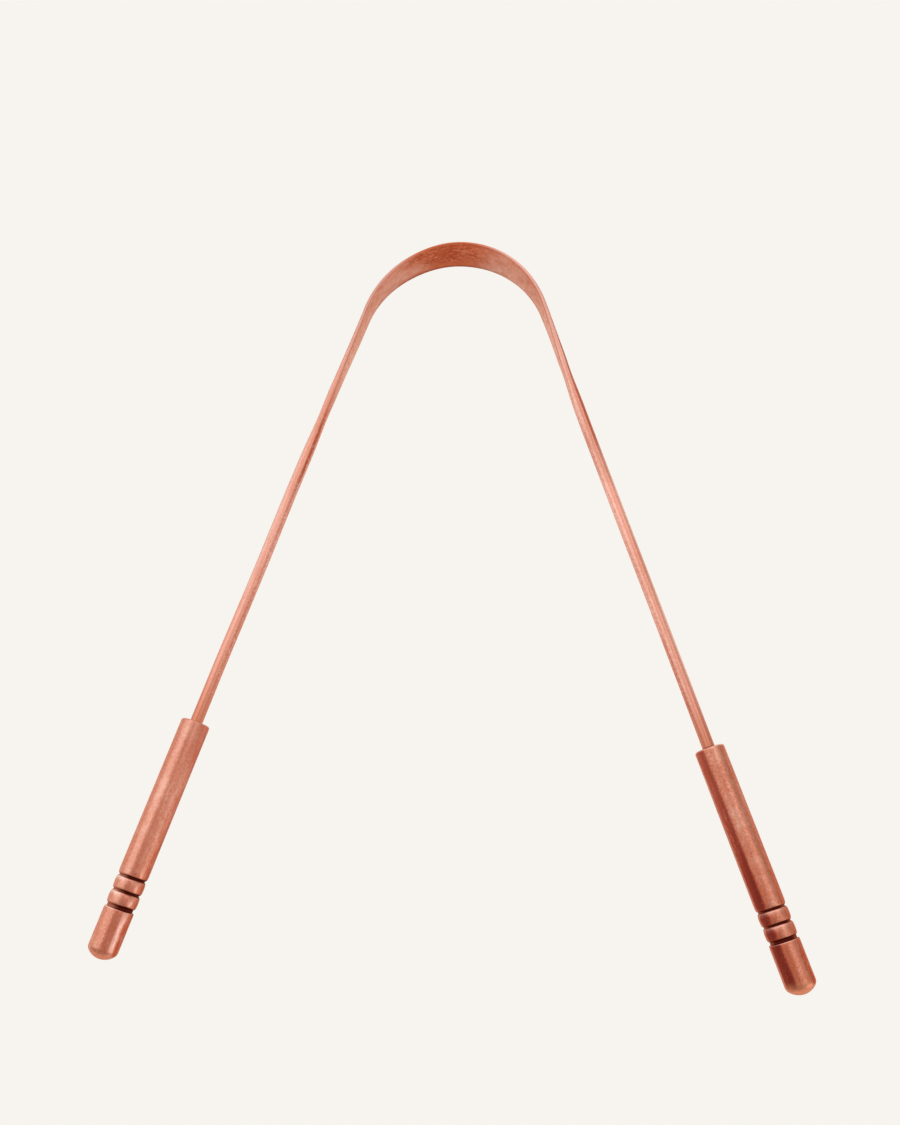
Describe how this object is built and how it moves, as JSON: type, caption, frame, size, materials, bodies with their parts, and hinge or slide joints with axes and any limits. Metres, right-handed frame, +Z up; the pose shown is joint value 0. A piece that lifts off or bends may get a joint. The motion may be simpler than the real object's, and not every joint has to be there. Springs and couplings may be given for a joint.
{
  "type": "tongue scraper",
  "caption": "Arched tongue scraper bent from one copper wire, hammered flat at the crown, with a turned copper handle on each end.",
  "frame": {"origin": "middle of the tool's box, on the table that it lies on", "axes": "+Y from the handles to the crown of the arch, +X to the right handle, +Z up from the table; the plane of the bow rises 0.58 degrees towards the crown, because the blade's edge and the tips of the handles touch the table"},
  "size_m": [0.129, 0.1511, 0.0085],
  "materials": {
    "wire": "bare copper wire, drawn and hammered, satin with fine lengthwise lines",
    "left_handle": "turned bare copper, satin, dark oxide in the grooves",
    "right_handle": "turned bare copper, satin, a little darker, dark oxide in the grooves"
  },
  "bodies": {
    "root": {"bow": "wire", "left_handle": "left_handle", "right_handle": "right_handle"}
  },
  "joints": []
}
